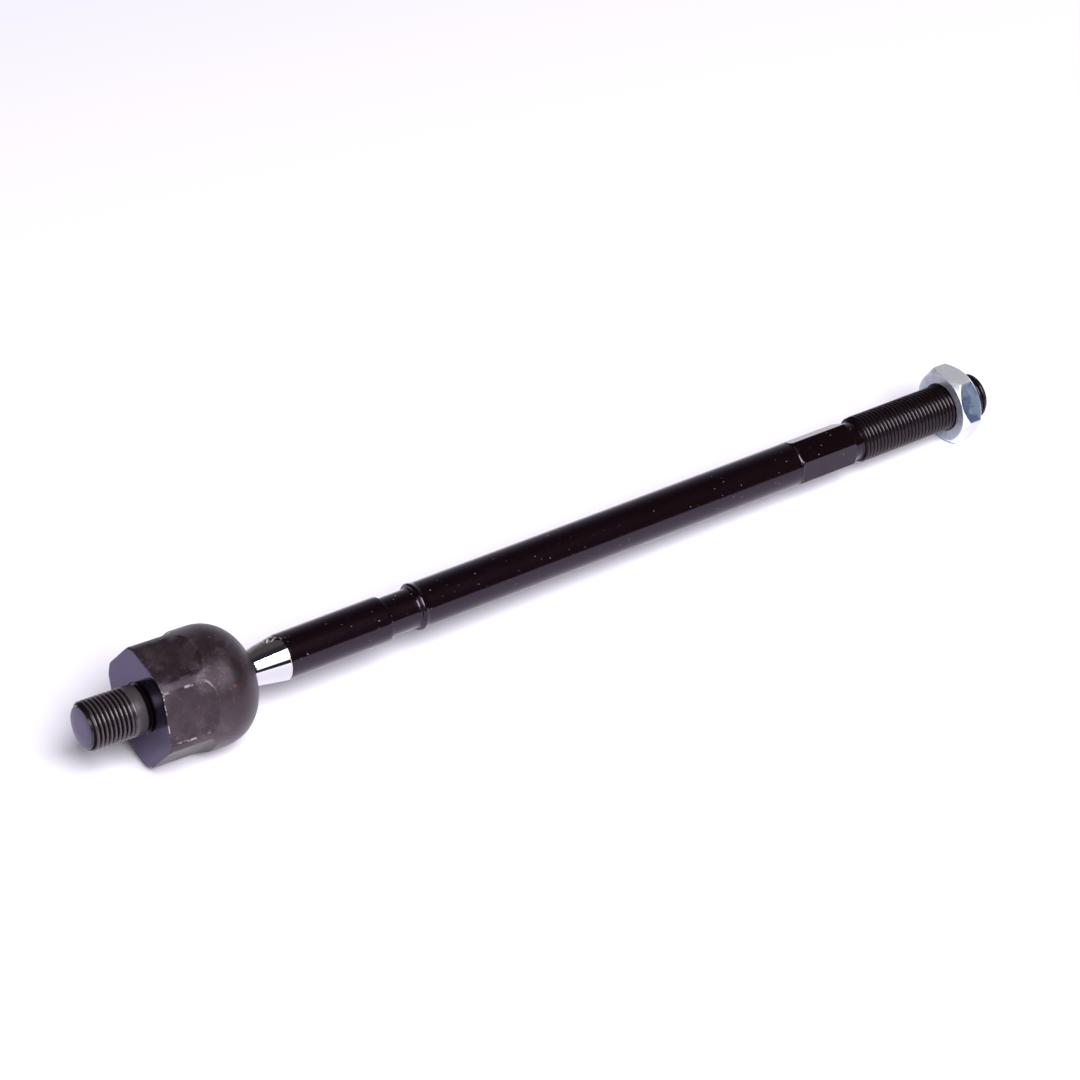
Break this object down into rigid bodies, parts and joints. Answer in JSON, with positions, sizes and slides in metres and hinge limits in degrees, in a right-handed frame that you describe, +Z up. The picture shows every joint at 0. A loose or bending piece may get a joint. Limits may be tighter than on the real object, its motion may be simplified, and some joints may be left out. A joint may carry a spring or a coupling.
{
  "type": "inner tie rod",
  "caption": "Inner steering tie rod: threaded stud on a round housing with a hexagon and a captured ball joint, grooved shaft with wrench flats, threaded end and jam nut.",
  "frame": {"origin": "centre of the hexagon's end face on the housing, which seats on the steering rack", "axes": "the part lies on a floor with +Z up and +X towards the threaded rod end; the housing's axis and the rod's axis both lie in the XZ plane"},
  "size_m": [0.3505, 0.0388, 0.0396],
  "materials": {
    "housing_steel": "satin",
    "seat_plastic": "satin",
    "spring_steel": "satin",
    "rod_coating": "gloss",
    "nut_zinc": "satin"
  },
  "bodies": {
    "housing_body": {"housing": "housing_steel", "preload_spring": "spring_steel"},
    "seat_body": {"ball_seat": "seat_plastic"},
    "rod_body": {"tie_rod": "rod_coating"},
    "nut_body": {"jam_nut": "nut_zinc"}
  },
  "joints": [
    {"name": "seat_turn", "type": "hinge", "parent": "housing_body", "child": "seat_body", "pos_m": [0.02295, 0, -0.00155], "axis": [0.9977, 0, -0.0673], "continuous": true},
    {"name": "rod_swing", "type": "hinge", "parent": "seat_body", "child": "rod_body", "pos_m": [0.02295, 0, -0.00155], "axis": [0, 1, 0], "range_deg": [-22.55, 27.45]},
    {"name": "nut_travel", "type": "slide", "parent": "rod_body", "child": "nut_body", "axis": [0.9997, 0, -0.0246], "range_m": [-0.038, 0.0055]}
  ]
}
